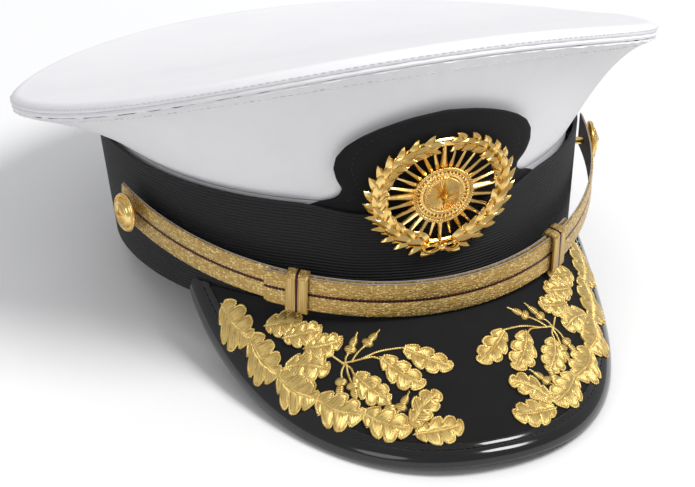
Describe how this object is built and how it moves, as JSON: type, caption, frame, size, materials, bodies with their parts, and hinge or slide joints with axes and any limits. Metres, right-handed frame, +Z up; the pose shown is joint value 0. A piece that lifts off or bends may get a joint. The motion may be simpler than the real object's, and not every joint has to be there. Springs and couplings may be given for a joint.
{
  "type": "military peaked cap",
  "caption": "Peaked service cap with a stretched white crown, black ribbed band, embroidered visor, lace chinstrap and gilt badge.",
  "frame": {"origin": "middle of the head opening, on the plane of the band's lower edge", "axes": "+Z up through the crown, -Y the way the visor points, +X to the wearer's left"},
  "size_m": [0.2422, 0.2767, 0.1361],
  "materials": {
    "white_twill": "matt white cotton and polyester twill",
    "black_mohair": "fine ribbed black braid",
    "black_cloth": "napped black cloth",
    "black_patent": "glossy black patent leather",
    "gold_lace": "woven and embroidered gold wire thread",
    "gilt_metal": "polished gilt",
    "pale_backing": "pale woven backing",
    "grey_plastic": "dark moulded fibre",
    "tan_leather": "soft tan leather",
    "spring_steel": "bright spring steel",
    "buckram": "stiff woven buckram"
  },
  "bodies": {
    "frame": {"sweatband": "tan_leather", "sweatband_tab": "tan_leather", "frame_band": "grey_plastic", "band_stiffener": "buckram", "mohair_band": "black_mohair", "band_splice": "black_mohair", "badge": "gilt_metal", "badge_mount": "black_cloth", "visor_cloth": "black_cloth", "visor_board": "grey_plastic", "visor_lining": "black_patent", "visor_binding": "black_patent", "visor_embroidery_right": "gold_lace", "visor_embroidery_left": "gold_lace"},
    "cover": {"cover_top": "white_twill", "cover_welt": "white_twill", "cover_side_front": "white_twill", "cover_side_back": "white_twill", "cover_hem": "white_twill", "grommet_ring": "spring_steel", "grommet_sleeve": "spring_steel", "front_stay": "spring_steel"},
    "chinstrap": {"strap_backing_right": "pale_backing", "strap_backing_left": "pale_backing", "strap_lace_right": "gold_lace", "strap_lace_left": "gold_lace"},
    "keeper_right": {"keeper_right": "gold_lace"},
    "keeper_left": {"keeper_left": "gold_lace"},
    "button_right": {"button_right": "gilt_metal", "button_post_right": "gilt_metal"},
    "button_left": {"button_left": "gilt_metal", "button_post_left": "gilt_metal"},
    "badge_nut": {"badge_nut": "gilt_metal"}
  },
  "joints": [
    {"name": "cover_lift", "type": "slide", "parent": "frame", "child": "cover", "axis": [0, 0, 1], "range_m": [0, 0.06]},
    {"name": "chinstrap_swing", "type": "hinge", "parent": "frame", "child": "chinstrap", "pos_m": [0, -0.0345, 0.0273], "axis": [-1, 0, 0], "range_deg": [0, 6]},
    {"name": "keeper_right_slide", "type": "hinge", "parent": "chinstrap", "child": "keeper_right", "pos_m": [0.00863, -0.03011, 0.02815], "axis": [0, -0.1905, 0.9817], "range_deg": [-4, 4]},
    {"name": "keeper_left_slide", "type": "hinge", "parent": "chinstrap", "child": "keeper_left", "pos_m": [-0.00863, -0.03011, 0.02815], "axis": [0, -0.1905, 0.9817], "range_deg": [-4, 4]},
    {"name": "button_right_turn", "type": "hinge", "parent": "frame", "child": "button_right", "pos_m": [-0.08865, -0.0345, 0.0273], "axis": [-0.9723, -0.2335, 0], "continuous": true},
    {"name": "button_left_turn", "type": "hinge", "parent": "frame", "child": "button_left", "pos_m": [0.08865, -0.0345, 0.0273], "axis": [0.9723, -0.2335, 0], "continuous": true},
    {"name": "badge_nut_turn", "type": "hinge", "parent": "frame", "child": "badge_nut", "pos_m": [0, -0.12018, 0.05974], "axis": [0, -0.9763, -0.2164], "continuous": true}
  ]
}
